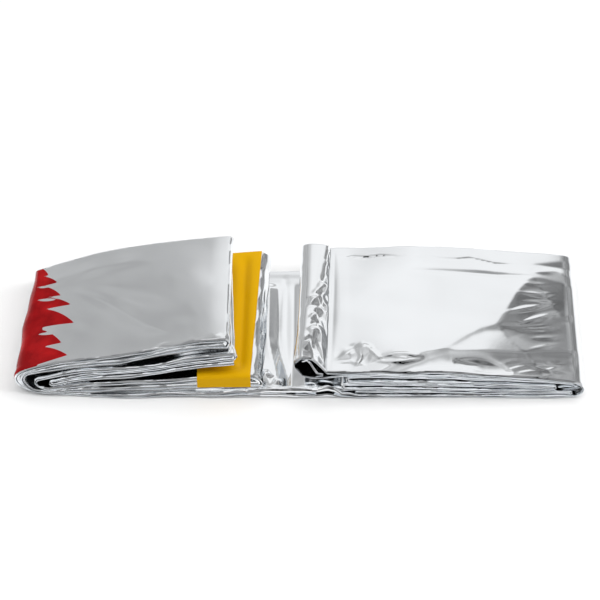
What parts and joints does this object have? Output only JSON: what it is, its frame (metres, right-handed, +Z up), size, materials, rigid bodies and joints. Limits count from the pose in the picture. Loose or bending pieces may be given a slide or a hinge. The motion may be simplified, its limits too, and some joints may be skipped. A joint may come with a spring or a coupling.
{
  "type": "folded emergency sleeping bag",
  "caption": "Folded foil emergency sleeping bag: a strip of metallised film laid back and forth in joined stacks, with a yellow band over a fold.",
  "frame": {"origin": "middle of the bag's outline, on the surface that it lies on", "axes": "+X along the folded strip, from the stack that fans open to the wrapped one; +Y to the back; +Z up"},
  "size_m": [0.2448, 0.0848, 0.0309],
  "materials": {
    "foil": "mirror-bright metallised film with packing creases, red along the left fold",
    "yellow_film": "plain yellow film, satin gloss"
  },
  "bodies": {
    "root": {"foil_bag": "foil", "yellow_band": "yellow_film"}
  },
  "joints": []
}
